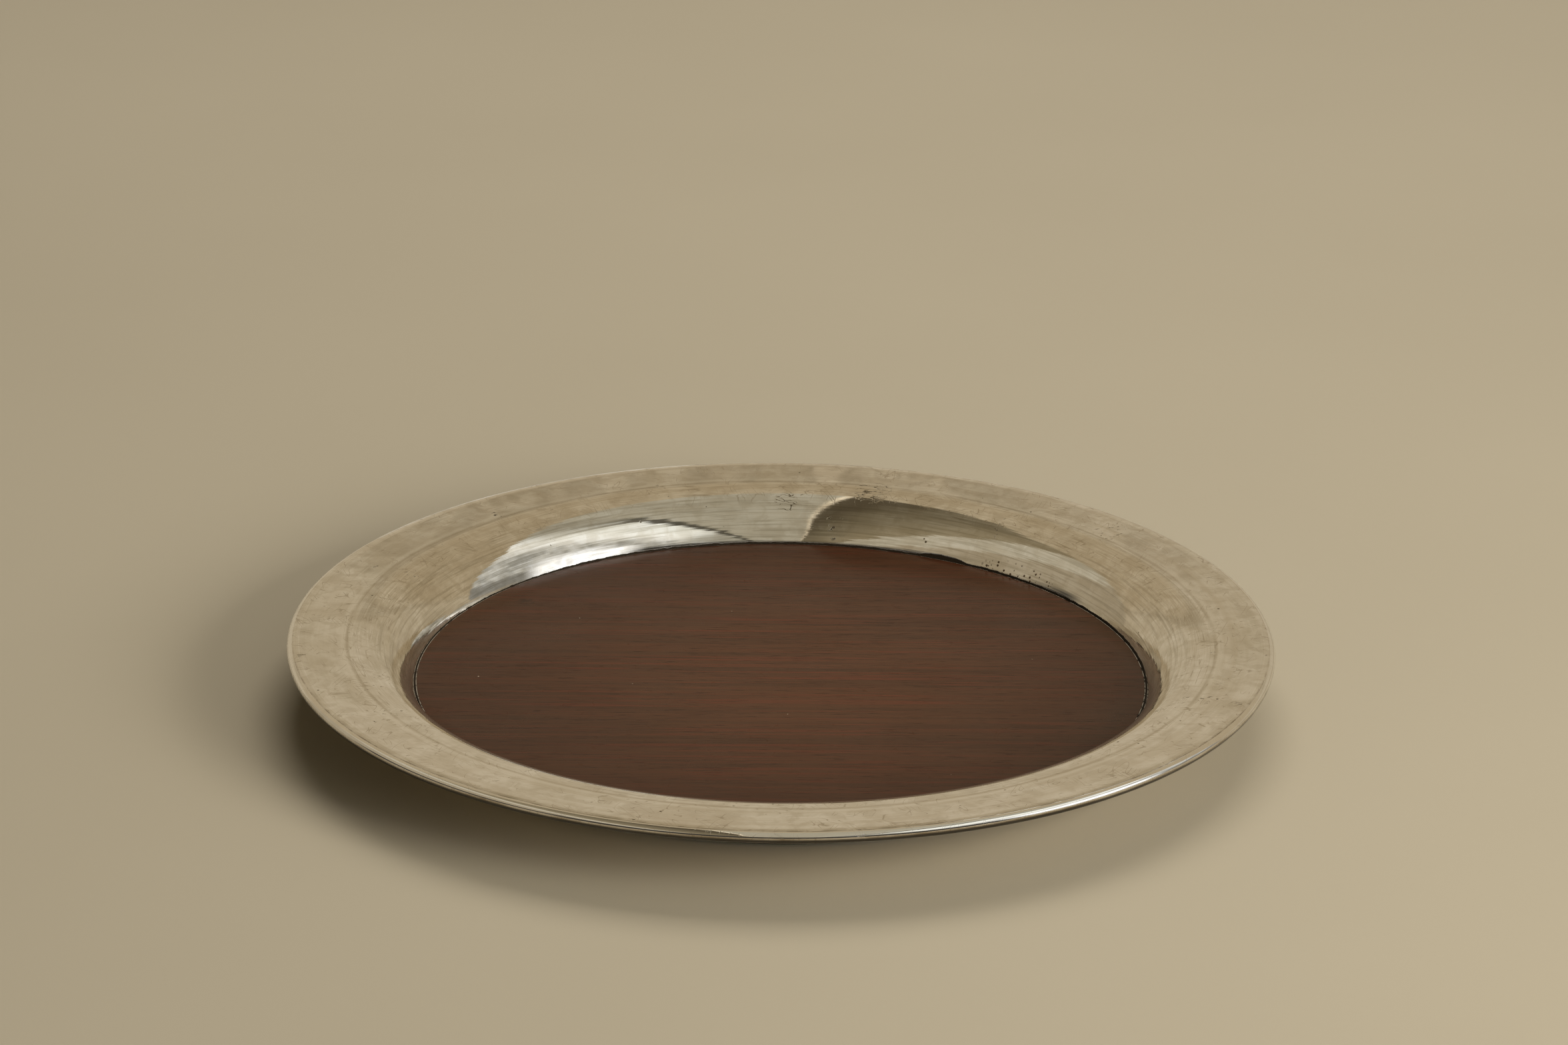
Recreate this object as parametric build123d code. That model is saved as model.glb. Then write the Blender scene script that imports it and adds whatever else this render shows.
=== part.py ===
from build123d import *
import math
import os

# Round drinks salver: a spun silver-plated shell with an applied border wire, and a
# mahogany-faced panel cemented into its well. Everything is turned about +Z, the origin
# is the centre of the underside, and sizes are in millimetres.

# Driving dimensions
OVERALL_DIAMETER = 355.0  # across the border wire, a 14 inch salver
OVERALL_HEIGHT = 26.0
WIRE_DIAMETER = 4.0  # border wire
SHEET = 1.0  # metal thickness of the shell
SEAM_BREAK = 0.12  # softened edge of the sheet where it meets the wire
RIM_WIDTH = 20.5  # from the wire's crest to the roll
RIM_FALL = 2.5  # the rim is dished: its fall towards the middle, in degrees
ROLL_RADIUS = 25.2  # the roll from the rim down into the wall
CORNER_RADIUS = 0.7  # inside corner where the wall meets the floor

BAIZE_THICKNESS = 0.8
BAIZE_INSET = 1.6  # baize edge inside the start of the shell's bottom corner

PANEL_BELOW_RIM = 17.8  # the panel's face below the top of the rim
CEMENT_BED = 0.3  # cement under the panel
CEMENT_BELOW_FACE = 0.35  # how far the cement in the joint stands below the panel's face
BACKING_THICKNESS = 0.5
FACE_THICKNESS = 0.6
PANEL_CLEARANCE = 0.75  # panel edge to the wall
ARRIS = 0.15  # eased top edge of the face veneer

# Radii and heights that follow from them
wire_radius = WIRE_DIAMETER / 2
seam_radius = OVERALL_DIAMETER / 2 - wire_radius
land_radius = seam_radius - wire_radius  # the sheet lies level on the wire this far in
rim_top = OVERALL_HEIGHT
floor_underside = BAIZE_THICKNESS
floor_top = floor_underside + SHEET

face_top = rim_top - PANEL_BELOW_RIM
face_underside = face_top - FACE_THICKNESS
bed_top = floor_top + CEMENT_BED
core_underside = bed_top + BACKING_THICKNESS
cement_top = face_top - CEMENT_BELOW_FACE

# The roll is one arc about roll_centre. Its slope grows from the rim's fall to the slope
# at which it meets the small corner above the floor.
roll_start_radius = seam_radius - RIM_WIDTH
roll_start_height = rim_top - (land_radius - roll_start_radius) * math.tan(math.radians(RIM_FALL))
roll_centre = (
    roll_start_radius + ROLL_RADIUS * math.sin(math.radians(RIM_FALL)),
    roll_start_height - ROLL_RADIUS * math.cos(math.radians(RIM_FALL)),
)
corner_height = floor_top + CORNER_RADIUS
foot_slope = math.degrees(math.acos((corner_height - roll_centre[1]) / (ROLL_RADIUS + CORNER_RADIUS)))


def on_roll(radius, slope):
    """The point at this slope on an arc of the given radius about the roll's centre."""
    angle = math.radians(slope)
    return (roll_centre[0] - radius * math.sin(angle), roll_centre[1] + radius * math.cos(angle))


def roll_slope(height):
    """Slope of the roll's upper side at a height, in degrees."""
    return math.degrees(math.acos((height - roll_centre[1]) / ROLL_RADIUS))


corner_centre = on_roll(ROLL_RADIUS + CORNER_RADIUS, foot_slope)
baize_radius = corner_centre[0] - BAIZE_INSET
panel_top_radius = on_roll(ROLL_RADIUS, roll_slope(face_top))[0] - PANEL_CLEARANCE
panel_low_radius = on_roll(ROLL_RADIUS, foot_slope)[0] - PANEL_CLEARANCE


def turned(*edges):
    """The solid swept by a closed outline, drawn as radius and height, round the Z axis."""
    outline = [Plane.XZ * edge for edge in edges]
    return revolve(make_face(outline), Axis.Z)


def panel_slice(low, high):
    """The part of the panel between two heights. Its edge is bevelled to suit the wall."""
    taper = (panel_top_radius - panel_low_radius) / (face_top - bed_top)
    low_radius = panel_low_radius + taper * (low - bed_top)
    high_radius = panel_low_radius + taper * (high - bed_top)
    base = Align.CENTER, Align.CENTER, Align.MIN
    return Pos(0, 0, low) * Cone(low_radius, high_radius, high - low, align=base)


def tray_shell():
    """One spun sheet: dished rim, rolled wall, tight bottom corner and flat floor."""
    under_radius = ROLL_RADIUS - SHEET
    roll_turn = foot_slope - RIM_FALL
    rim = [
        (seam_radius, rim_top - SHEET),
        (seam_radius, rim_top - SEAM_BREAK),
        (seam_radius - SEAM_BREAK, rim_top),
        (land_radius, rim_top),
        on_roll(ROLL_RADIUS, RIM_FALL),
    ]
    floor = [
        (corner_centre[0], floor_top),
        (0, floor_top),
        (0, floor_underside),
        (corner_centre[0], floor_underside),
    ]
    under_rim = [
        on_roll(under_radius, RIM_FALL),
        (land_radius, rim_top - SHEET),
        (seam_radius, rim_top - SHEET),
    ]
    return turned(
        Polyline(*rim),
        CenterArc(roll_centre, ROLL_RADIUS, 90 + RIM_FALL, roll_turn),
        CenterArc(corner_centre, CORNER_RADIUS, foot_slope - 90, -foot_slope),
        Polyline(*floor),
        CenterArc(corner_centre, CORNER_RADIUS + SHEET, -90, foot_slope),
        CenterArc(roll_centre, under_radius, 90 + foot_slope, -roll_turn),
        Polyline(*under_rim),
    )


def rim_wire():
    """Round border wire with a rebate on its inner top quarter that takes the sheet's edge."""
    section = Pos(seam_radius, rim_top - wire_radius) * Circle(wire_radius)
    rebate_centre = Pos(seam_radius - wire_radius / 2, rim_top - SHEET / 2)
    section -= rebate_centre * Rectangle(wire_radius, SHEET)
    return revolve(Plane.XZ * section, Axis.Z)


def panel_cement():
    """Thin bed under the panel, turned up into the joint between the panel and the wall."""
    joint_slope = roll_slope(cement_top)
    filled_well = turned(
        CenterArc(roll_centre, ROLL_RADIUS, 90 + joint_slope, foot_slope - joint_slope),
        CenterArc(corner_centre, CORNER_RADIUS, foot_slope - 90, -foot_slope),
        Polyline(
            (corner_centre[0], floor_top),
            (0, floor_top),
            (0, cement_top),
            on_roll(ROLL_RADIUS, joint_slope),
        ),
    )
    return filled_well - panel_slice(bed_top, face_top)


def face_veneer():
    """Straight-grained face of the panel, its upper edge eased."""
    veneer = panel_slice(face_underside, face_top)
    return chamfer(veneer.edges().group_by(Axis.Z)[-1], ARRIS)


def core_board():
    return panel_slice(core_underside, face_underside)


def backing_veneer():
    return panel_slice(bed_top, core_underside)


def base_baize():
    base = Align.CENTER, Align.CENTER, Align.MIN
    return Cylinder(baize_radius, BAIZE_THICKNESS, align=base)


PIECES = [
    tray_shell,
    rim_wire,
    panel_cement,
    face_veneer,
    core_board,
    backing_veneer,
    base_baize,
]

os.makedirs("parts", exist_ok=True)
for piece in PIECES:
    export_step(piece(), f"parts/{piece.__name__}.step")
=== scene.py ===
import math

import bmesh
import bpy
from mathutils import Matrix, Vector, noise


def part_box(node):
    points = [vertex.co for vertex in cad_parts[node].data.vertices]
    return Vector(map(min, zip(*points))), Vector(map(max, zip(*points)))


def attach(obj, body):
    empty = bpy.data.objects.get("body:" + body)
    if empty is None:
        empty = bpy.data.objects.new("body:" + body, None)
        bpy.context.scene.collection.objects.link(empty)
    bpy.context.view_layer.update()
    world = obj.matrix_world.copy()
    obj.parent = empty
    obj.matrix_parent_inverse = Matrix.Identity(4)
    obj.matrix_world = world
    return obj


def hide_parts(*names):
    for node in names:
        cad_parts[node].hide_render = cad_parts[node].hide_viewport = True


# A round silver-plated salver with a mahogany panel, standing on a plain pale floor.
# Metres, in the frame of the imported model: +Z up, origin at the centre of the underside.

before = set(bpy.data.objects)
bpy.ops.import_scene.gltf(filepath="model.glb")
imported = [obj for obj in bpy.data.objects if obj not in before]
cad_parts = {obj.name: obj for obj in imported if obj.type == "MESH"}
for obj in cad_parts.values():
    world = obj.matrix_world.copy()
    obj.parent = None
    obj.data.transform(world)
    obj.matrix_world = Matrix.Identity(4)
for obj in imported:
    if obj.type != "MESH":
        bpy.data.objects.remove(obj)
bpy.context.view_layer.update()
MM = 0.001

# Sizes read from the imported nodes
shell_low, shell_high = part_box("tray_shell")
wire_low, wire_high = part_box("rim_wire")
face_low, face_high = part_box("face_veneer")
core_low, core_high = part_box("core_board")
cement_low, cement_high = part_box("panel_cement")
baize_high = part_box("base_baize")[1]

# Sizes of the turned profile that a box doesn't show
SHEET = 1.0 * MM
SEAM_BREAK = 0.12 * MM
RIM_WIDTH = 20.5 * MM
RIM_FALL = 2.5  # degrees
ROLL_RADIUS = 25.2 * MM
CORNER_RADIUS = 0.7 * MM
CEMENT_BED = 0.3 * MM
ARRIS = 0.15 * MM

seam_radius = shell_high.x
rim_top = shell_high.z
wire_radius = (wire_high.z - wire_low.z) / 2
land_radius = seam_radius - wire_radius
floor_under = shell_low.z
floor_top = floor_under + SHEET
panel_radius = face_high.x
panel_top = face_high.z
cement_top = cement_high.z
baize_radius = baize_high.x

roll_start_radius = seam_radius - RIM_WIDTH
roll_start_height = rim_top - (land_radius - roll_start_radius) * math.tan(math.radians(RIM_FALL))
roll_centre = (
    roll_start_radius + ROLL_RADIUS * math.sin(math.radians(RIM_FALL)),
    roll_start_height - ROLL_RADIUS * math.cos(math.radians(RIM_FALL)),
)
corner_height = floor_top + CORNER_RADIUS
foot_slope = math.degrees(math.acos((corner_height - roll_centre[1]) / (ROLL_RADIUS + CORNER_RADIUS)))


def on_roll(radius, slope):
    """The point at this slope, in degrees, on an arc of the given radius about the roll's centre."""
    angle = math.radians(slope)
    return (roll_centre[0] - radius * math.sin(angle), roll_centre[1] + radius * math.cos(angle))


def roll_slope(height):
    """Slope of the roll's upper side at a height, in degrees."""
    return math.degrees(math.acos((height - roll_centre[1]) / ROLL_RADIUS))


corner_centre = on_roll(ROLL_RADIUS + CORNER_RADIUS, foot_slope)
joint_radius = on_roll(ROLL_RADIUS, roll_slope(panel_top))[0]

ROUND = 512  # steps round the turned pieces
SHARP_ANGLE = 28  # edges that turn by more than this stay crisp, in degrees
ON_AXIS = 1e-7  # points closer than this are the same, and this close to the axis make a pole


# ---------------------------------------------------------------- meshes

def arc(centre, radius, start, end, steps):
    """Points along an arc in the radius and height plane, angles in degrees."""
    points = []
    for i in range(steps + 1):
        angle = math.radians(start + (end - start) * i / steps)
        points.append((centre[0] + radius * math.cos(angle), centre[1] + radius * math.sin(angle)))
    return points


def straight(start, end, steps):
    """Points along a straight run, its ends included."""
    shares = [i / steps for i in range(steps + 1)]
    return [tuple(a + (b - a) * t for a, b in zip(start, end)) for t in shares]


def joined(*runs):
    """One outline from runs that share their end points."""
    outline = []
    for run in runs:
        for point in run:
            if not outline or math.dist(outline[-1], point) > ON_AXIS:
                outline.append(point)
    return outline


def placed(name, data):
    """A new object in the scene."""
    piece = bpy.data.objects.new(name, data)
    bpy.context.scene.collection.objects.link(piece)
    return piece


def turned(name, outline, shift=None, closed=False):
    """The outline turned round Z. Points on the axis become poles, and shift moves each vertex."""
    mesh_maker = bmesh.new()
    rings = []
    for radius, height in outline:
        count = 1 if radius < ON_AXIS else ROUND
        ring = []
        for i in range(count):
            angle = 2 * math.pi * i / ROUND
            place = Vector((radius * math.cos(angle), radius * math.sin(angle), height))
            if shift:
                place += shift(place)
            ring.append(mesh_maker.verts.new(place))
        rings.append(ring)
    pairs = list(zip(rings, rings[1:]))
    if closed:
        pairs.append((rings[-1], rings[0]))
    for one, two in pairs:
        for i in range(ROUND):
            j = (i + 1) % ROUND
            corners = [one[i % len(one)], one[j % len(one)], two[j % len(two)], two[i % len(two)]]
            corners = list(dict.fromkeys(corners))
            if len(corners) > 2:
                mesh_maker.faces.new(corners)
    bmesh.ops.recalc_face_normals(mesh_maker, faces=mesh_maker.faces)
    mesh = bpy.data.meshes.new(name)
    mesh_maker.to_mesh(mesh)
    mesh_maker.free()
    mesh.polygons.foreach_set("use_smooth", [True] * len(mesh.polygons))
    mesh.set_sharp_from_angle(angle=math.radians(SHARP_ANGLE))
    return placed(name, mesh)


def smooth_step(low, high, value):
    """0 below low, 1 above high, with an even start and finish between them."""
    share = min(1.0, max(0.0, (value - low) / (high - low)))
    return share * share * (3 - 2 * share)


# Soft knocks in the rim: direction in degrees, radius, width and depth
KNOCKS = [
    (-19, 163 * MM, 7 * MM, 0.16 * MM),
    (-24, 171 * MM, 5 * MM, 0.10 * MM),
    (205, 168 * MM, 9 * MM, 0.12 * MM),
    (236, 166 * MM, 6 * MM, 0.10 * MM),
    (74, 170 * MM, 8 * MM, 0.10 * MM),
    (128, 167 * MM, 10 * MM, 0.12 * MM),
]
WAVE_LENGTH = 46 * MM
WAVE_DEPTH = 0.10 * MM
TRUE_WALL = 4 * MM  # this much of the wall outside the joint stays true


def sheet_shift(place):
    """How far the thin rim is out of true: long shallow waves and a few soft knocks, always downward."""
    radius = math.hypot(place.x, place.y)
    share = smooth_step(joint_radius + TRUE_WALL, seam_radius, radius)
    if share == 0:
        return Vector()
    wave = noise.noise(Vector((place.x, place.y, 0)) / WAVE_LENGTH) * 0.5 + 0.5
    drop = WAVE_DEPTH * wave
    for direction, knock_radius, width, depth in KNOCKS:
        angle = math.radians(direction)
        centre = Vector((math.cos(angle), math.sin(angle))) * knock_radius
        away = (Vector((place.x, place.y)) - centre).length / width
        drop += depth * math.exp(-away * away)
    return Vector((0, 0, -drop * share))


def shell_outline():
    """Upper side from the rim's edge inward, then the underside back out."""
    under_radius = ROLL_RADIUS - SHEET
    corner = (corner_centre[0], floor_under)
    return joined(
        [(seam_radius, rim_top - SHEET), (seam_radius, rim_top - SEAM_BREAK)],
        [(seam_radius - SEAM_BREAK, rim_top)],
        straight((seam_radius - 2 * SEAM_BREAK, rim_top), (land_radius, rim_top), 3),
        straight((land_radius, rim_top), on_roll(ROLL_RADIUS, RIM_FALL), 18),
        arc(roll_centre, ROLL_RADIUS, 90 + RIM_FALL, 90 + foot_slope, 62),
        arc(corner_centre, CORNER_RADIUS, foot_slope - 90, -90, 6),
        [(0, floor_top)],
        [(0, floor_under)],
        straight((corner[0] * 0.9, floor_under), corner, 3),
        arc(corner_centre, CORNER_RADIUS + SHEET, -90, foot_slope - 90, 10),
        arc(roll_centre, under_radius, 90 + foot_slope, 90 + RIM_FALL, 46),
        straight(on_roll(under_radius, RIM_FALL), (land_radius, rim_top - SHEET), 14),
    )


def wire_outline():
    """Round wire with the rebate that takes the edge of the sheet."""
    centre = (seam_radius, rim_top - wire_radius)
    shoulder = math.sqrt(wire_radius ** 2 - (wire_radius - SHEET) ** 2)
    shoulder_angle = math.degrees(math.atan2(wire_radius - SHEET, -shoulder))
    return joined(
        arc(centre, wire_radius, 88, shoulder_angle - 360, 44),
        [(seam_radius, rim_top - SHEET)],
        [(seam_radius, rim_top - SEAM_BREAK)],
    )


def panel_outline():
    """The face veneer: flat top, eased edge and a bevel that suits the wall."""
    return joined(
        [(0, panel_top)],
        straight((0.8 * panel_radius, panel_top), (panel_radius - ARRIS, panel_top), 4),
        arc((panel_radius - ARRIS, panel_top - ARRIS), ARRIS, 90, 0, 5),
        [(core_high.x, face_low.z)],
        [(0, face_low.z)],
    )


CEMENT_LIP_WIDTH = 0.32 * MM  # a narrow lip of cement round the panel
CEMENT_BELOW_PANEL = 0.09 * MM  # its inner edge below the panel's face
CEMENT_LIP_LOW = 0.14 * MM  # its outer edge below the panel's face


def cement_outline():
    """The ring of cement in the joint, standing on the bed under the panel."""
    low = cement_low.z
    bed = low + CEMENT_BED  # top of the bed
    outer = on_roll(ROLL_RADIUS, roll_slope(cement_top))
    return joined(
        # Known fault: core_low.x is negative, so this second point becomes one vertex beyond the
        # wall at the left, not a ring inside the panel's edge. core_high.x was meant.
        [(0, bed), (core_low.x - SHEET, bed)],
        [(panel_radius, panel_top - CEMENT_BELOW_PANEL)],
        [(panel_radius + CEMENT_LIP_WIDTH, panel_top - CEMENT_LIP_LOW)],
        [outer],
        arc(roll_centre, ROLL_RADIUS, 90 + roll_slope(cement_top), 90 + foot_slope, 6),
        arc(corner_centre, CORNER_RADIUS, foot_slope - 90, -90, 3),
        [(0, low)],
    )


BAIZE_EDGE = 0.35 * MM  # rounding of the baize's lower edge


def baize_outline():
    """The baize disc, flat on both sides, its lower edge rounded."""
    edge = BAIZE_EDGE
    return joined(
        [(0, baize_high.z)],
        [(baize_radius, baize_high.z)],
        arc((baize_radius - edge, edge), edge, 0, -90, 4),
        straight((baize_radius - edge, 0), (baize_radius * 0.75, 0), 6),
        [(0, 0)],
    )


# ---------------------------------------------------------------- material nodes

class Nodes:
    """Short calls for building a node tree."""

    def __init__(self, tree, coordinates):
        self.tree = tree
        self.place = self.add("ShaderNodeTexCoord").outputs[coordinates]

    def add(self, kind, **settings):
        node = self.tree.nodes.new(kind)
        for key, value in settings.items():
            setattr(node, key, value)
        return node

    def plug(self, value, socket):
        if isinstance(value, bpy.types.NodeSocket):
            self.tree.links.new(value, socket)
        else:
            socket.default_value = value

    def math(self, operation, *values):
        node = self.add("ShaderNodeMath", operation=operation)
        for value, socket in zip(values, node.inputs):
            self.plug(value, socket)
        return node.outputs[0]

    def split(self, vector):
        node = self.add("ShaderNodeSeparateXYZ")
        self.plug(vector, node.inputs[0])
        return node.outputs

    def vector(self, x, y, z):
        node = self.add("ShaderNodeCombineXYZ")
        for value, socket in zip((x, y, z), node.inputs):
            self.plug(value, socket)
        return node.outputs[0]

    def stretched(self, vector, turn, scale):
        """vector turned about Z by turn degrees, then scaled along each axis."""
        node = self.add("ShaderNodeMapping", vector_type="TEXTURE")
        self.plug(vector, node.inputs["Vector"])
        node.inputs["Rotation"].default_value = (0, 0, math.radians(turn))
        node.inputs["Scale"].default_value = [1 / s for s in scale]
        return node.outputs[0]

    def noise(self, vector, scale, detail=2.0, roughness=0.5, distortion=0.0):
        node = self.add("ShaderNodeTexNoise")
        self.plug(vector, node.inputs["Vector"])
        node.inputs["Scale"].default_value = scale
        node.inputs["Detail"].default_value = detail
        node.inputs["Roughness"].default_value = roughness
        node.inputs["Distortion"].default_value = distortion
        return node.outputs["Fac"]

    def cells(self, vector, scale):
        node = self.add("ShaderNodeTexVoronoi")
        self.plug(vector, node.inputs["Vector"])
        node.inputs["Scale"].default_value = scale
        return node.outputs["Distance"]

    def range(self, value, low, high, to_low=0.0, to_high=1.0):
        """value from low..high to to_low..to_high, smooth and clamped."""
        node = self.add("ShaderNodeMapRange", interpolation_type="SMOOTHSTEP")
        for item, socket in zip((value, low, high, to_low, to_high), node.inputs):
            self.plug(item, socket)
        return node.outputs[0]

    def mix(self, share, one, two):
        node = self.add("ShaderNodeMix", data_type="RGBA")
        self.plug(share, node.inputs["Factor"])
        self.plug(one, node.inputs["A"])
        self.plug(two, node.inputs["B"])
        return node.outputs["Result"]

    def mix_value(self, one, two, share):
        """one where share is 0 and two where it is 1."""
        return self.math("ADD", one, self.math("MULTIPLY", self.math("SUBTRACT", two, one), share))

    def product(self, *values):
        result = values[0]
        for value in values[1:]:
            result = self.math("MULTIPLY", result, value)
        return result

    def total(self, *values):
        result = values[0]
        for value in values[1:]:
            result = self.math("ADD", result, value)
        return result

    def bump(self, height, depth, under=None):
        node = self.add("ShaderNodeBump")
        node.inputs["Strength"].default_value = 1.0
        node.inputs["Distance"].default_value = depth
        self.plug(height, node.inputs["Height"])
        if under:
            self.plug(under, node.inputs["Normal"])
        return node.outputs[0]

    def around(self):
        """(radius, unit x, unit y, height) of the shading point about the Z axis."""
        x, y, z = self.split(self.place)
        radius = self.math("SQRT", self.total(self.product(x, x), self.product(y, y)))
        return radius, self.math("DIVIDE", x, radius), self.math("DIVIDE", y, radius), z


class Surface(Nodes):
    """The node tree of one material."""

    def __init__(self, name):
        self.material = bpy.data.materials.new(name)
        self.material.use_nodes = True
        super().__init__(self.material.node_tree, "Object")
        self.shader = self.tree.nodes["Principled BSDF"]

    def finish(self, **inputs):
        for name, value in inputs.items():
            self.plug(value, self.shader.inputs[name.replace("_", " ")])
        return self.material

    def blend(self, share, one, two):
        """Makes the surface shader one where share is 0 and shader two where it is 1."""
        node = self.add("ShaderNodeMixShader")
        for value, socket in zip((share, one, two), node.inputs):
            self.plug(value, socket)
        self.plug(node.outputs[0], self.tree.nodes["Material Output"].inputs["Surface"])


def rgb(red, green, blue):
    return (red, green, blue, 1.0)


def crossing(n, level, width):
    """Thin lines where a noise passes its middle level."""
    return n.range(n.math("ABSOLUTE", n.math("SUBTRACT", level, 0.5)), 0.0, width, 1.0, 0.0)


def hairlines(n, turn, spacing, length, width, seed):
    """Thin straight scratches in one direction, broken into short lengths."""
    moved = n.add("ShaderNodeVectorMath", operation="ADD")
    n.plug(n.place, moved.inputs[0])
    moved.inputs[1].default_value = (seed, seed * 1.7, 0.0)
    along = n.stretched(moved.outputs[0], turn, (1 / length, 1 / spacing, 1.0))
    level = n.noise(along, 1.0, detail=0.0)
    line = crossing(n, level, width)
    broken = n.range(n.noise(moved.outputs[0], 1 / (0.6 * length), detail=1.0), 0.55, 0.63)
    return n.product(line, broken)


def turning(n, length, spacing, detail=2.0, roughness=0.6, tilt=0.0):
    """Noise drawn out along the circumference: marks of this length, this far apart on the profile."""
    radius, unit_x, unit_y, height = n.around()
    profile = n.math("ADD", radius, height)
    if tilt:
        profile = n.math("ADD", profile, n.product(unit_x, tilt))
    turns = seam_radius / length
    place = n.vector(
        n.product(unit_x, turns),
        n.product(unit_y, turns),
        n.product(profile, 1 / spacing),
    )
    return n.noise(place, 1.0, detail=detail, roughness=roughness)


def facing_back_right(n, unit_x, unit_y):
    """1 at the back right of the salver, -1 at the front left."""
    return n.math("ADD", n.product(unit_x, 0.66), n.product(unit_y, 0.75))


def near(n, azimuth, distance, size):
    """1 at a place on the salver, falling to 0 at the given size."""
    angle = math.radians(azimuth)
    x, y, _ = n.split(n.place)
    dx = n.math("SUBTRACT", x, distance * math.cos(angle))
    dy = n.math("SUBTRACT", y, distance * math.sin(angle))
    away = n.math("SQRT", n.math("ADD", n.product(dx, dx), n.product(dy, dy)))
    return n.range(away, 0.0, size, 1.0, 0.0)


# Zones on the silver, by distance from the axis. Each begins at the first value, is full at the second.
WALL = (148.5 * MM, 142 * MM)
SHOULDER_OUTSIDE = (160 * MM, 155 * MM)
SHOULDER_INSIDE = (138 * MM, 143 * MM)
HAIRLINES_OUTSIDE = (140 * MM, 146 * MM)
RING_RADIUS = 156 * MM  # the faint ring round the rim
PITS_REACH = panel_top + 7 * MM  # the pits reach this high on the wall

# Places seen in the photo: azimuth from +X towards +Y in degrees, distance from the axis, size
WORN_MARKS = [(76.5, 152 * MM, 12 * MM), (89.5, 143.5 * MM, 7 * MM), (338, 171.5 * MM, 2.5 * MM)]
PITS = (47, 133 * MM, 26 * MM)
FOOT_BAND_WIDE = (62, 133 * MM, 16 * MM)
WOOD_STAIN = (145, 117.5 * MM, 6 * MM)


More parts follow.
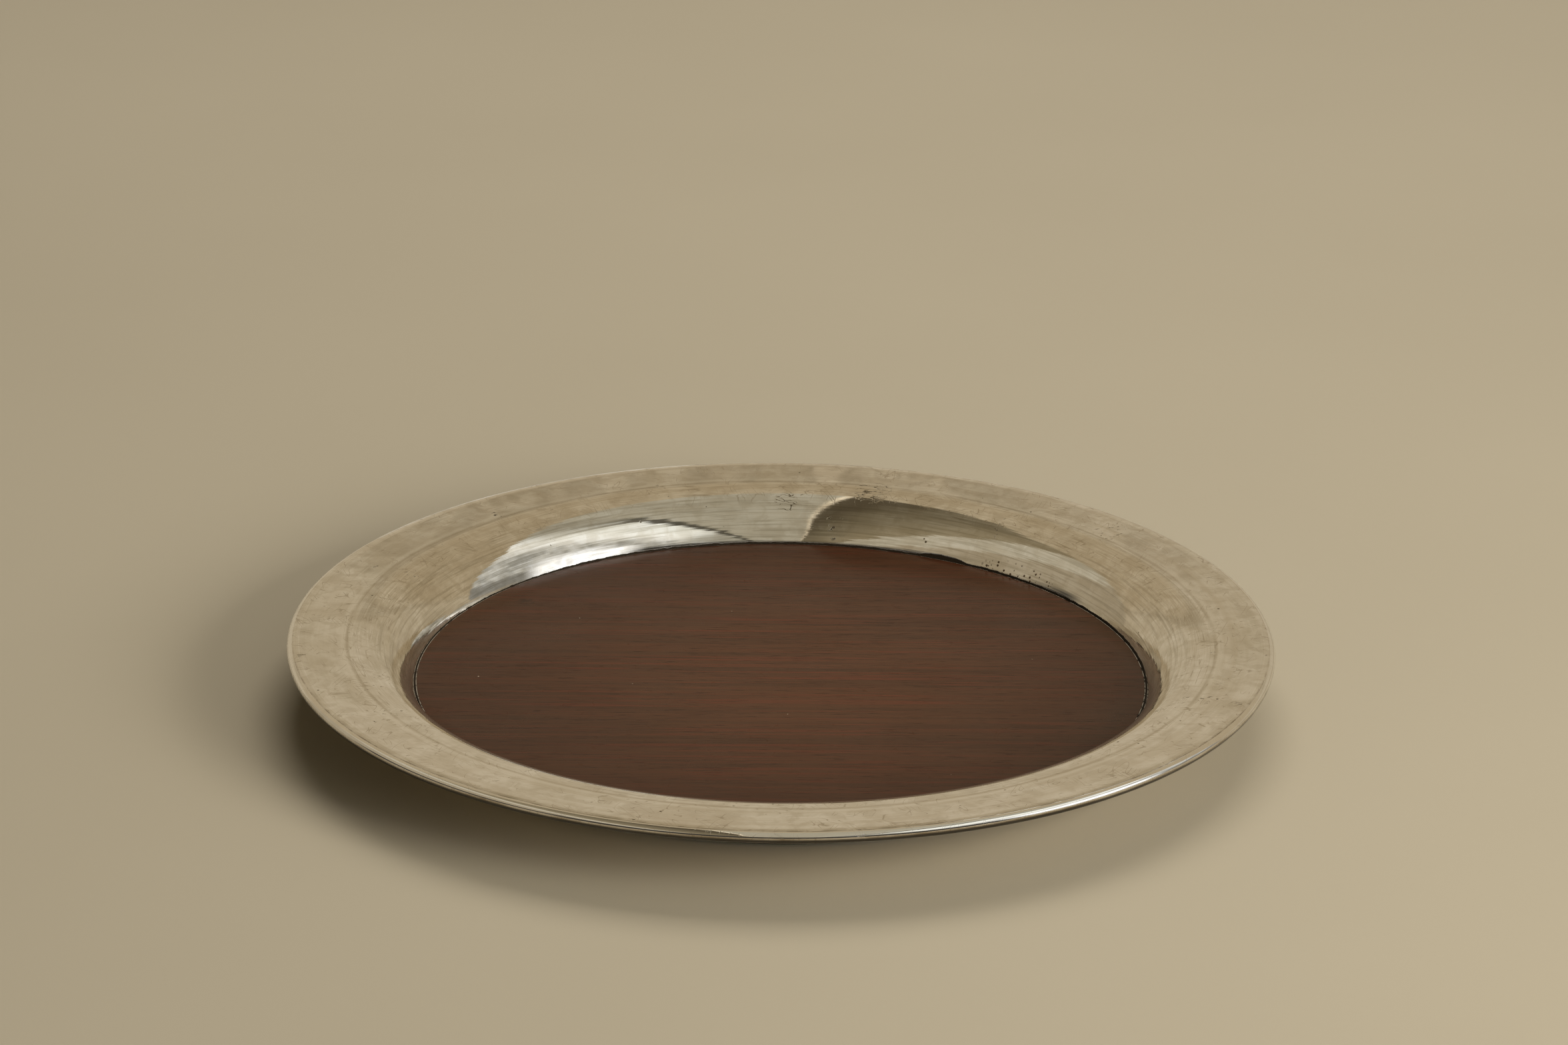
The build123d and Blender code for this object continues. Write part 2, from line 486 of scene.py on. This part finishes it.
def silver(name, tarnish_and_shade=0.0):
    """Old polished silver plate: marks of turning and polishing, hairlines, pits and thin tarnish, with
    painted shade on the lower half of the border wire.
    """
    n = Surface(name)
    radius, unit_x, unit_y, height = n.around()
    on_wall = n.range(radius, *WALL)
    on_shoulder = n.product(n.range(radius, *SHOULDER_OUTSIDE), n.range(radius, *SHOULDER_INSIDE))
    off_wall = n.range(radius, *HAIRLINES_OUTSIDE)

    ripple = turning(n, 300 * MM, 1.9 * MM, detail=1.0)
    brush = turning(n, 40 * MM, 1.5 * MM, detail=4.0, roughness=0.65)
    fine = turning(n, 9 * MM, 0.28 * MM, detail=2.0, roughness=0.7)
    ring_tone = turning(n, 420 * MM, 3.2 * MM, detail=3.0, tilt=1.2 * MM)
    ring_wander = n.product(n.math("SUBTRACT", turning(n, 60 * MM, 40 * MM), 0.5), 1.6 * MM)
    ring_place = n.math("ADD", n.math("SUBTRACT", radius, RING_RADIUS), ring_wander)
    ring = n.range(n.math("ABSOLUTE", ring_place), 0.15 * MM, 0.9 * MM, 1.0, 0.0)
    ring = n.product(ring, n.range(turning(n, 30 * MM, 3 * MM), 0.35, 0.6, 0.35, 1.0))

    curved = n.product(crossing(n, turning(n, 38 * MM, 1.7 * MM, 0.0, tilt=5 * MM), 0.035), on_shoulder)
    curved = n.product(curved, n.range(n.noise(n.place, 95.0, detail=2.0), 0.45, 0.62))
    straight_ones = n.total(
        hairlines(n, 14, 2.6 * MM, 17 * MM, 0.020, 3.1),
        hairlines(n, 71, 3.1 * MM, 13 * MM, 0.020, 7.7),
        hairlines(n, 118, 2.8 * MM, 15 * MM, 0.020, 12.3),
        hairlines(n, 161, 3.4 * MM, 11 * MM, 0.022, 19.9),
    )
    scratches = n.math("MINIMUM", n.total(curved, n.product(straight_ones, off_wall)), 1.0)

    cloud = n.noise(n.place, 52.0, detail=4.0, roughness=0.6)
    patch = n.noise(n.place, 150.0, detail=3.0, roughness=0.55, distortion=0.6)
    smear_place = n.stretched(n.place, 25, (24.0, 62.0, 40.0))
    smear = n.noise(smear_place, 1.0, detail=3.0, roughness=0.6, distortion=0.8)

    speck_cells = n.cells(n.place, 170.0)
    speck_here = n.range(n.noise(n.place, 78.0, detail=1.0), 0.60, 0.64)
    specks = n.product(n.range(speck_cells, 0.055, 0.085, 1.0, 0.0), speck_here)
    fleck_place = n.stretched(n.place, 10, (420.0, 900.0, 600.0))
    fleck_shape = n.range(n.noise(fleck_place, 1.0, detail=3.0), 0.62, 0.68)
    flecks = n.product(fleck_shape, n.range(n.noise(n.place, 64.0, detail=1.0), 0.66, 0.72))
    squiggle_place = n.stretched(n.place, -12, (170.0, 620.0, 420.0))
    squiggle = crossing(n, n.noise(squiggle_place, 1.0, detail=2.0), 0.035)
    worn_here = n.total(*[near(n, *mark) for mark in WORN_MARKS])
    worn = n.product(squiggle, n.range(worn_here, 0.2, 0.5))

    # Small brown pits low on the wall at the back right
    rust_cells = n.range(n.cells(n.place, 600.0), 0.22, 0.34, 1.0, 0.0)
    rust_shape = n.product(rust_cells, n.range(n.noise(n.place, 330.0, detail=2.0), 0.43, 0.52))
    low_wall = n.range(height, PITS_REACH, panel_top + 1 * MM)
    rust_here = n.range(n.product(low_wall, near(n, *PITS)), 0.12, 0.40)
    rust = n.product(rust_shape, rust_here)

    # A dark band at the foot of the wall, highest at the back and on the right
    facing = facing_back_right(n, unit_x, unit_y)
    band_height = n.range(facing, -0.25, 0.45, 0.10 * MM, 0.60 * MM)
    band_widening = n.range(near(n, *FOOT_BAND_WIDE), 0.1, 0.9, 0.0, 1.1 * MM)
    band_height = n.math("ADD", band_height, band_widening)
    ragged = n.product(n.math("SUBTRACT", turning(n, 5 * MM, 2 * MM), 0.5), 0.9 * MM)
    above_panel = n.math("ADD", n.math("SUBTRACT", height, panel_top), ragged)
    dark_foot_band = n.range(n.math("DIVIDE", above_panel, band_height), 0.75, 1.1, 1.0, 0.0)

    tint = n.mix(n.range(cloud, 0.34, 0.66), rgb(0.975, 0.955, 0.920), rgb(0.820, 0.775, 0.700))
    tint = n.mix(n.range(patch, 0.44, 0.64, 0.0, 0.62), tint, rgb(0.720, 0.672, 0.590))
    tint = n.mix(n.range(ring_tone, 0.40, 0.70, 0.0, 0.45), tint, rgb(0.72, 0.66, 0.56))
    tint = n.mix(n.product(ring, 0.50), tint, rgb(0.50, 0.44, 0.34))
    band_inside = n.range(ring_place, 0.6 * MM, 1.4 * MM)
    bright_band = n.product(band_inside, n.range(ring_place, 3.4 * MM, 1.8 * MM))
    tint = n.mix(n.product(bright_band, 0.6), tint, rgb(0.97, 0.945, 0.90))
    streak_share = n.product(n.range(brush, 0.44, 0.64), n.range(on_wall, 0.0, 1.0, 0.10, 0.66))
    tint = n.mix(streak_share, tint, rgb(0.54, 0.50, 0.42))
    tint = n.mix(n.product(scratches, 0.55), tint, rgb(0.44, 0.38, 0.29))
    tint = n.mix(n.math("MINIMUM", n.total(specks, flecks, worn), 0.85), tint, rgb(0.13, 0.10, 0.06))
    tint = n.mix(n.product(rust, 0.92), tint, rgb(0.13, 0.08, 0.035))
    if tarnish_and_shade:
        # Tarnish on the wire is partly real and partly painted shade: it deepens down the bead.
        low_tarnish_and_shade = n.range(turning(n, 16 * MM, 2.5 * MM, detail=4.0), 0.35, 0.65, 0.35 * tarnish_and_shade, tarnish_and_shade)
        low_tarnish_and_shade = n.product(low_tarnish_and_shade, n.range(height, rim_top - 0.5 * MM, rim_top - 2.4 * MM, 0.12, 1.0))
        tint = n.mix(low_tarnish_and_shade, tint, rgb(0.24, 0.18, 0.11))
        rubbed = n.range(height, rim_top - 1.9 * MM, rim_top - 0.9 * MM, 0.0, 0.7)
        tint = n.mix(rubbed, tint, rgb(0.97, 0.955, 0.93))
        # Painted shade: the lower half of the bead is made nearly black, standing in for the shade that
        # the bead hangs over.
        painted_underside_shade = n.range(height, rim_top - 1.8 * MM, rim_top - 2.5 * MM, 0.0, 0.94)
        tint = n.mix(painted_underside_shade, tint, rgb(0.085, 0.078, 0.070))
    else:
        seam_dirt = n.range(radius, seam_radius - 0.9 * MM, seam_radius)
        patchy = n.range(turning(n, 6 * MM, 1 * MM, detail=3.0), 0.42, 0.62, 0.15, 0.75)
        seam_dirt = n.product(seam_dirt, patchy, n.range(unit_y, 0.1, -0.6, 0.12, 1.0))
        tint = n.mix(seam_dirt, tint, rgb(0.20, 0.15, 0.09))
        tint = n.mix(dark_foot_band, tint, rgb(0.026, 0.019, 0.012))
        n.shader.inputs["Specular IOR Level"].default_value = 0.15

    marks = n.total(specks, flecks, worn, rust)
    rough = n.total(
        n.range(smear, 0.3, 0.75, 0.022, 0.060),
        n.range(brush, 0.3, 0.8, 0.0, 0.03),
        n.product(scratches, 0.16),
        n.product(marks, 0.4),
    )
    rough = n.mix_value(n.math("MINIMUM", rough, 0.7), 0.6, dark_foot_band) if not tarnish_and_shade else rough
    wavy = n.noise(n.place, 62.0, detail=1.0)
    normal = n.bump(wavy, 0.045 * MM)
    normal = n.bump(n.product(ripple, n.range(on_wall, 0.0, 1.0, 0.12, 1.0)), 0.045 * MM, normal)
    normal = n.bump(n.product(brush, n.range(on_wall, 0.0, 1.0, 0.10, 1.0)), 0.012 * MM, normal)
    normal = n.bump(n.product(fine, n.range(on_wall, 0.0, 1.0, 0.3, 1.0)), 0.002 * MM, normal)
    normal = n.bump(n.product(scratches, -1.0), 0.004 * MM, normal)
    normal = n.bump(n.product(marks, -1.0), 0.04 * MM, normal)
    n.shader.inputs["Anisotropic"].default_value = 0.4
    n.shader.inputs["Anisotropic Rotation"].default_value = 0.25
    tangent = n.add("ShaderNodeTangent", direction_type="RADIAL", axis="Z")
    n.plug(tangent.outputs[0], n.shader.inputs["Tangent"])
    metal = 1.0 if tarnish_and_shade else n.math("SUBTRACT", 1.0, dark_foot_band)
    return n.finish(Base_Color=tint, Metallic=metal, Roughness=rough, Normal=normal)


def mahogany(name):
    """Straight-grained dark mahogany, grain along X, under a satin lacquer."""
    n = Surface(name)
    wide = n.noise(n.stretched(n.place, 0.4, (2.2, 42.0, 20.0)), 1.0, detail=2.0)
    bands = n.noise(n.stretched(n.place, 0.6, (6.0, 330.0, 60.0)), 1.0, detail=4.0, roughness=0.7)
    red = n.noise(n.stretched(n.place, 0.5, (12.0, 780.0, 60.0)), 1.0, detail=2.0, roughness=0.6)
    fibre = n.noise(n.stretched(n.place, 0.3, (34.0, 1700.0, 300.0)), 1.0, detail=3.0, roughness=0.7)
    pores = n.noise(n.stretched(n.place, 0.2, (130.0, 2600.0, 300.0)), 1.0, detail=1.0)
    pores = n.range(pores, 0.60, 0.70)
    faded = n.noise(n.place, 9.0, detail=2.0)

    wood = n.mix(n.range(wide, 0.3, 0.7), rgb(0.071, 0.0240, 0.0098), rgb(0.086, 0.0303, 0.0123))
    wood = n.mix(n.range(bands, 0.40, 0.62, 0.0, 0.60), wood, rgb(0.038, 0.0150, 0.0065))
    wood = n.mix(n.range(red, 0.54, 0.64, 0.0, 0.55), wood, rgb(0.140, 0.0270, 0.0110))
    wood = n.mix(n.range(fibre, 0.35, 0.75, 0.0, 0.50), wood, rgb(0.102, 0.0430, 0.0180))
    wood = n.mix(n.product(pores, 0.65), wood, rgb(0.018, 0.007, 0.004))
    wood = n.mix(n.range(faded, 0.45, 0.75, 0.0, 0.15), wood, rgb(0.110, 0.052, 0.026))

    # Painted shade and reflection: the panel darkens from its lighter middle towards its edge
    radius, _, _, _ = n.around()
    edge_shade_tint = n.mix(0.5, wood, rgb(0.008, 0.0, 0.0))
    wood = n.mix(n.range(radius, 25 * MM, 125 * MM, 0.0, 0.76), wood, edge_shade_tint)

    # A dark stain, which the noise at that place leaves very faint, a few motes of dust and fine scuffs
    stain_edge = n.range(n.noise(n.place, 260.0, detail=2.0), 0.35, 0.6)
    stain = n.product(n.range(near(n, *WOOD_STAIN), 0.25, 0.6), stain_edge)
    wood = n.mix(n.product(stain, 0.7), wood, rgb(0.016, 0.008, 0.005))
    mote_here = n.range(n.noise(n.place, 90.0, detail=1.0), 0.62, 0.64)
    motes = n.product(n.range(n.cells(n.place, 120.0), 0.030, 0.045, 1.0, 0.0), mote_here)
    wood = n.mix(motes, wood, rgb(0.42, 0.34, 0.25))
    scuffs = n.total(
        hairlines(n, 33, 5 * MM, 12 * MM, 0.012, 2.2),
        hairlines(n, 128, 6 * MM, 9 * MM, 0.012, 5.9),
    )

    rough = n.total(
        n.range(n.noise(n.place, 30.0, detail=3.0), 0.3, 0.7, 0.27, 0.36),
        n.product(pores, 0.12),
        n.product(scuffs, 0.12),
    )
    normal = n.bump(fibre, 0.006 * MM)
    normal = n.bump(n.product(pores, -1.0), 0.014 * MM, normal)
    normal = n.bump(motes, 0.05 * MM, normal)
    n.shader.inputs["Specular IOR Level"].default_value = 0.08
    n.shader.inputs["Coat Weight"].default_value = 0.20
    n.shader.inputs["Coat Roughness"].default_value = 0.15
    return n.finish(Base_Color=wood, Roughness=rough, Normal=normal)


def cement(name):
    """Dark old cement, with a painted highlight: a broken pale line along the panel's edge."""
    n = Surface(name)
    radius, unit_x, unit_y, _ = n.around()
    facing = facing_back_right(n, unit_x, unit_y)
    # Lighter brown towards the front left, away from the wall, and darker towards the back right.
    front_left_share = n.range(facing, 0.25, -0.35)
    # Painted highlight: a broken pale line close to the panel's edge, also raised a little by the bump.
    broken = n.range(turning(n, 7 * MM, 5 * MM, detail=4.0, roughness=0.7), 0.40, 0.52)
    close = n.range(radius, panel_radius + 0.42 * MM, panel_radius + 0.30 * MM)
    pale = n.product(broken, close)
    grime = n.noise(n.place, 900.0, detail=3.0)
    dark = n.mix(grime, rgb(0.010, 0.008, 0.006), rgb(0.034, 0.026, 0.019))
    brown = n.mix(grime, rgb(0.050, 0.036, 0.026), rgb(0.115, 0.082, 0.060))
    off_the_wall = n.range(radius, joint_radius - 0.25 * MM, joint_radius - 0.40 * MM)
    dark = n.mix(n.product(front_left_share, off_the_wall), dark, brown)
    tint = n.mix(n.product(pale, 0.8), dark, rgb(0.42, 0.37, 0.29))
    normal = n.bump(n.total(grime, pale), 0.10 * MM)
    n.shader.inputs["Specular IOR Level"].default_value = 0.2
    return n.finish(Base_Color=tint, Roughness=n.range(grime, 0.3, 0.7, 0.50, 0.75), Normal=normal)


def plain_wood(name, light, dark, grain):
    """Unfinished wood of the hidden plies, grain along the given stretch."""
    n = Surface(name)
    fibre = n.noise(n.stretched(n.place, 0, grain), 1.0, detail=3.0, roughness=0.6)
    tint = n.mix(n.range(fibre, 0.3, 0.7), light, dark)
    rough = n.range(fibre, 0.3, 0.7, 0.6, 0.75)
    return n.finish(Base_Color=tint, Roughness=rough, Normal=n.bump(fibre, 0.03 * MM))


def baize(name):
    """Short napped green wool with the weave just showing through."""
    n = Surface(name)
    nap = n.noise(n.place, 900.0, detail=4.0, roughness=0.7)
    tuft = n.noise(n.stretched(n.place, 35, (260.0, 700.0, 400.0)), 1.0, detail=2.0)
    worn = n.noise(n.place, 16.0, detail=3.0)
    tint = n.mix(n.range(nap, 0.3, 0.7), rgb(0.010, 0.055, 0.028), rgb(0.030, 0.120, 0.062))
    tint = n.mix(n.range(worn, 0.45, 0.75, 0.0, 0.5), tint, rgb(0.055, 0.115, 0.070))
    height = n.total(nap, n.product(tuft, 0.6))
    n.shader.inputs["Sheen Weight"].default_value = 0.35
    n.shader.inputs["Sheen Roughness"].default_value = 0.5
    rough = n.range(nap, 0.3, 0.7, 0.85, 0.95)
    return n.finish(Base_Color=tint, Roughness=rough, Normal=n.bump(height, 0.25 * MM))


# ---------------------------------------------------------------- the salver

def dress(piece, material, slot, *nodes):
    """Gives a finished piece its material and its place in the frame."""
    piece.data.materials.clear()
    piece.data.materials.append(material)
    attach(piece, "root")
    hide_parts(*nodes)


shell = turned("shell", shell_outline(), sheet_shift, closed=True)
dress(shell, silver("shell silver"), "shell_plate", "tray_shell")

wire = turned("border_wire", wire_outline(), sheet_shift, closed=True)
dress(wire, silver("wire silver", tarnish_and_shade=0.85), "wire_plate", "rim_wire")

panel = turned("panel_face", panel_outline())
dress(panel, mahogany("mahogany"), "mahogany_face", "face_veneer")

joint = turned("joint_cement", cement_outline())
dress(joint, cement("joint cement"), "cement", "panel_cement")

cloth = turned("underside_baize", baize_outline())
dress(cloth, baize("green baize"), "baize", "base_baize")

core_wood = plain_wood("core wood", rgb(0.40, 0.27, 0.15), rgb(0.30, 0.19, 0.10), (300, 12, 60))
backing_wood = plain_wood("backing wood", rgb(0.20, 0.09, 0.05), rgb(0.13, 0.055, 0.03), (10, 400, 60))
for node, material in (("core_board", core_wood), ("backing_veneer", backing_wood)):
    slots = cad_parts[node].data.materials
    slots.clear()
    slots.append(material)


# ---------------------------------------------------------------- stage

def flat_mesh(name, w, t):
    """A rectangle in the XY plane, w and t from its middle to its edges."""
    mesh = bpy.data.meshes.new(name)
    mesh.from_pydata([(-w, -t, 0), (w, -t, 0), (w, t, 0), (-w, t, 0)], [], [(0, 1, 2, 3)])
    return mesh


def aim(piece, centre):
    """Puts a card or a light at a place, with its back turned away from the salver."""
    facing = Vector(centre).normalized()
    piece.matrix_world = Matrix.Translation(centre) @ facing.to_track_quat("Z", "Y").to_matrix().to_4x4()


def card(name, centre, size, strength, tint, soft):
    """A glowing studio card that faces the salver, brightest in the middle, not seen by the camera."""
    width, tall = size
    w, t = width / 2, tall / 2
    mesh = flat_mesh(name, w, t)
    piece = placed(name, mesh)
    aim(piece, centre)
    n = Surface(name)
    x, y, _ = n.split(n.place)
    edge_x = n.range(n.math("ABSOLUTE", x), w * (1 - soft), w, 1.0, 0.0)
    edge_y = n.range(n.math("ABSOLUTE", y), t * (1 - soft), t, 1.0, 0.0)
    glow = n.add("ShaderNodeEmission")
    glow.inputs["Color"].default_value = tint
    creases = n.noise(n.place, 3.2, detail=3.0, roughness=0.6, distortion=1.0)
    creases = n.range(creases, 0.35, 0.65, 0.72, 1.0)
    n.plug(n.product(creases, strength), glow.inputs["Strength"])
    clear = n.add("ShaderNodeBsdfTransparent")
    n.blend(n.product(edge_x, edge_y), clear.outputs[0], glow.outputs[0])
    mesh.materials.append(n.material)
    piece.visible_camera = False
    return piece


def towards(azimuth, elevation, distance):
    """A place seen from the salver, azimuth from +X towards +Y, in degrees."""
    a, e = math.radians(azimuth), math.radians(elevation)
    return Vector((math.cos(a) * math.cos(e), math.sin(a) * math.cos(e), math.sin(e))) * distance


FLOOR_REACH = 7.0  # from the middle of the floor to its edges
FLOOR_GAP = 0.05 * MM  # how far the floor lies under the baize, so that the two aren't in one plane
SHORT_RAY = 0.5 * MM  # the floor is clear to rays shorter than this


def floor():
    """Plain pale floor, clear from below and to the very short rays that leave the baize's underside."""
    mesh = flat_mesh("floor", FLOOR_REACH, FLOOR_REACH)
    piece = placed("floor", mesh)
    piece.location.z = -FLOOR_GAP
    n = Surface("pale floor")
    tone = n.noise(n.place, 3.0, detail=3.0)
    tint = n.mix(tone, rgb(0.51, 0.452, 0.335), rgb(0.56, 0.498, 0.372))
    n.finish(Base_Color=tint, Roughness=n.range(tone, 0.3, 0.7, 0.8, 0.9))
    n.shader.inputs["Specular IOR Level"].default_value = 0.2
    clear = n.add("ShaderNodeBsdfTransparent")
    back = n.add("ShaderNodeNewGeometry").outputs["Backfacing"]
    beside_baize = n.math("LESS_THAN", n.add("ShaderNodeLightPath").outputs["Ray Length"], SHORT_RAY)
    n.blend(n.math("MAXIMUM", back, beside_baize), n.shader.outputs[0], clear.outputs[0])
    mesh.materials.append(n.material)


# Where the things in the reflected room begin and end, as the two values of a soft edge
SWEEP_LEFT = (-1.18, -1.12)  # of x / y
SWEEP_RIGHT = (2.30, 2.20)
STRIP_START = (-0.109, -0.102)  # of x / z, as are the rest
STRIP_END = (-0.098, -0.091)
SCREEN_START = (0.80, 1.35)
SCREEN_DARKENS = (2.7, 3.4)
TAN_EDGE = -1.32  # middle of a soft edge
SHADE_EDGE = -0.77
DARK_LINE = 0.425


def surroundings():
    """The light that the room gives: a tan cloth sweep behind, a grey ceiling, a dark camera side."""
    world = bpy.data.worlds.new("studio")
    world.use_nodes = True
    bpy.context.scene.world = world
    n = Nodes(world.node_tree, "Generated")
    x, y, z = n.split(n.place)

    # A cloth sweep behind, in soft narrow folds, brighter low down and in the middle
    forward = n.math("MAXIMUM", y, 0.05)
    aside = n.math("DIVIDE", x, forward)
    steep = n.math("DIVIDE", z, forward)
    cloth_place = n.vector(n.product(aside, 90.0), n.product(steep, 12.0), 0.0)
    cloth = n.noise(cloth_place, 1.0, detail=3.0, roughness=0.6)
    low_tan = n.mix(n.range(cloth, 0.30, 0.70), rgb(0.425, 0.354, 0.238), rgb(0.500, 0.421, 0.300))
    high_tan = n.mix(n.range(cloth, 0.34, 0.66), rgb(0.336, 0.267, 0.166), rgb(0.476, 0.388, 0.258))
    tan = n.mix(n.range(steep, 0.34, 0.60), low_tan, high_tan)
    fold_place = n.vector(n.product(aside, 300.0), n.product(steep, 7.0), 0.0)
    folds = n.range(n.noise(fold_place, 1.0, detail=2.0), 0.47, 0.56)
    folded = n.product(n.range(steep, 0.425, 0.440), n.range(steep, 0.500, 0.475))
    tan = n.mix(n.product(folds, n.product(folded, 0.60)), tan, rgb(0.230, 0.185, 0.115))
    middle = n.range(n.math("ABSOLUTE", aside), 0.04, 0.20, 1.0, 0.0)
    middle = n.product(middle, n.range(steep, 0.42, 0.37))
    tan = n.mix(n.product(middle, 0.30), tan, rgb(0.560, 0.475, 0.350))

    # The ceiling's bands run from front to back, so each lies between two values of x / z
    across = n.math("DIVIDE", x, n.math("MAXIMUM", z, 0.04))

    def from_here(edge, soft):
        return n.range(across, edge - soft, edge + soft)

    creases = n.noise(n.place, 7.0, detail=4.0, roughness=0.65, distortion=1.2)
    screen = n.mix(n.range(creases, 0.40, 0.60), rgb(0.360, 0.350, 0.310), rgb(0.620, 0.610, 0.560))
    ceiling = n.mix(from_here(TAN_EDGE, 0.02), rgb(0.370, 0.310, 0.215), rgb(0.495, 0.445, 0.340))
    shade = n.mix(n.range(across, -0.75, -0.25), rgb(0.275, 0.225, 0.140), rgb(0.165, 0.135, 0.084))
    shade = n.mix(n.range(across, -0.30, -0.14, 0.0, 0.8), shade, rgb(0.075, 0.058, 0.035))
    ceiling = n.mix(from_here(SHADE_EDGE, 0.015), ceiling, shade)
    ahead = n.math("MAXIMUM", n.math("SUBTRACT", -0.4, y), 0.0)
    bend = n.product(ahead, ahead, 0.4)
    strip = n.total(across, bend, n.product(y, -0.045))
    ceiling = n.mix(n.range(strip, *STRIP_START), ceiling, rgb(0.900, 0.770, 0.560))
    ceiling = n.mix(n.range(strip, *STRIP_END), ceiling, rgb(0.390, 0.350, 0.260))
    ceiling = n.mix(n.range(across, 0.10, 0.40), ceiling, rgb(0.435, 0.400, 0.310))
    line = n.product(from_here(DARK_LINE, 0.01), n.range(y, 0.10, -0.12, 0.2, 0.85))
    ceiling = n.mix(line, ceiling, rgb(0.050, 0.045, 0.034))
    bright = n.mix(n.range(across, 0.50, 1.10), rgb(0.880, 0.880, 0.800), rgb(1.080, 1.070, 1.000))
    low_part = n.product(n.range(y, -0.66, -0.80), n.range(across, 1.3, 0.9))
    bright = n.mix(low_part, bright, rgb(0.400, 0.380, 0.310))
    ceiling = n.mix(n.range(across, 0.485, n.range(y, 0.12, -0.12, 0.95, 0.525)), ceiling, bright)
    screen = n.mix(n.range(across, *SCREEN_DARKENS, 0.0, 0.8), screen, rgb(0.190, 0.180, 0.155))
    ceiling = n.mix(n.range(across, *SCREEN_START), ceiling, screen)

    # The sweep ends at both sides and at its top edge, and the ceiling shows round it
    edge = n.range(n.math("ABSOLUTE", aside), 0.4, 1.4, 1.88, 2.22)
    under_edge = n.range(n.math("SUBTRACT", edge, steep), -0.02, 0.02)
    inside = n.product(n.range(aside, *SWEEP_LEFT), n.range(aside, *SWEEP_RIGHT))
    behind = n.product(under_edge, inside, n.range(y, 0.0, 0.06))
    sky = n.mix(behind, ceiling, tan)
    sides = n.product(n.range(z, 0.16, 0.06), n.range(x, 0.10, 0.40))
    sky = n.mix(sides, sky, rgb(0.400, 0.330, 0.225))
    left = n.product(n.range(x, -0.45, -0.70), n.range(y, 0.34, 0.16))
    dark_left = n.product(left, n.range(z, 0.26, 0.12))
    sky = n.mix(dark_left, sky, rgb(0.042, 0.040, 0.038))
    front = n.product(n.range(z, 0.40, 0.33), n.range(y, -0.52, -0.68))
    sky = n.mix(front, sky, rgb(0.055, 0.050, 0.043))
    # Plain below the floor and wherever it is looked at directly, and bright enough below
    # to light the underside
    path = n.add("ShaderNodeLightPath")
    plain = n.math("MAXIMUM", n.range(z, 0.0, -0.05), path.outputs["Is Camera Ray"])
    sky = n.mix(plain, sky, rgb(0.430, 0.360, 0.250))
    n.plug(sky, n.tree.nodes["Background"].inputs["Color"])
    share = n.mix_value(1.0, n.range(z, 0.0, -0.05, 0.3, 2.4), path.outputs["Is Diffuse Ray"])
    n.plug(share, n.tree.nodes["Background"].inputs["Strength"])


def soft_light(name, centre, size, power, tint):
    """A soft light that lights the floor and the wood but isn't mirrored in the silver."""
    data = bpy.data.lights.new(name, "AREA")
    data.shape = "RECTANGLE"
    data.size, data.size_y = size
    data.energy = power
    data.color = tint
    piece = placed(name, data)
    aim(piece, centre)
    piece.visible_glossy = False
    piece.visible_camera = False


SOFTBOX_TINT = rgb(0.97, 0.985, 1.0)
WARM = (1.0, 0.95, 0.88)
WARM_BACK = (1.0, 0.95, 0.89)

# Each place is given by azimuth, elevation and distance, then come the size and the strength
floor()
surroundings()
card("key_softbox", towards(-20, 19, 1.9), (1.60, 1.15), 1.6, SOFTBOX_TINT, soft=0.55)
soft_light("key_light", towards(-31, 23, 1.9), (1.4, 0.7), 38.0, WARM)
soft_light("front_light", towards(-50, 16, 2.0), (1.2, 0.5), 8.0, WARM)
soft_light("back_light", towards(80, 58, 2.2), (1.6, 1.2), 23.0, WARM_BACK)

# ---------------------------------------------------------------- camera

CAMERA_DISTANCE = 9 * seam_radius
CAMERA_ELEVATION = 22.095  # degrees, as are the three below
AIM_ABOVE = 1.450  # the camera looks this far above the rim's centre
AIM_RIGHT = 0.022
ROLL = 0.67
LENS = 100.43
SENSOR = 36
NEAREST = 0.05
FARTHEST = 30

rim_centre = Vector((0, 0, rim_top - wire_radius))
elevation = math.radians(CAMERA_ELEVATION)
camera_data = bpy.data.cameras.new("camera")
camera_data.lens = LENS
camera_data.sensor_width = SENSOR
camera = placed("camera", camera_data)
camera.location = rim_centre + Vector((0, -math.cos(elevation), math.sin(elevation))) * CAMERA_DISTANCE
look = Matrix.Rotation(math.radians(90 - CAMERA_ELEVATION + AIM_ABOVE), 4, "X")
side = Matrix.Rotation(math.radians(-AIM_RIGHT), 4, "Z")
roll = Matrix.Rotation(math.radians(ROLL), 4, "Z")
camera.matrix_world = Matrix.Translation(camera.location) @ side @ look @ roll
camera_data.clip_start = NEAREST
camera_data.clip_end = FARTHEST
bpy.context.scene.camera = camera

bpy.context.scene.view_settings.view_transform = "Standard"
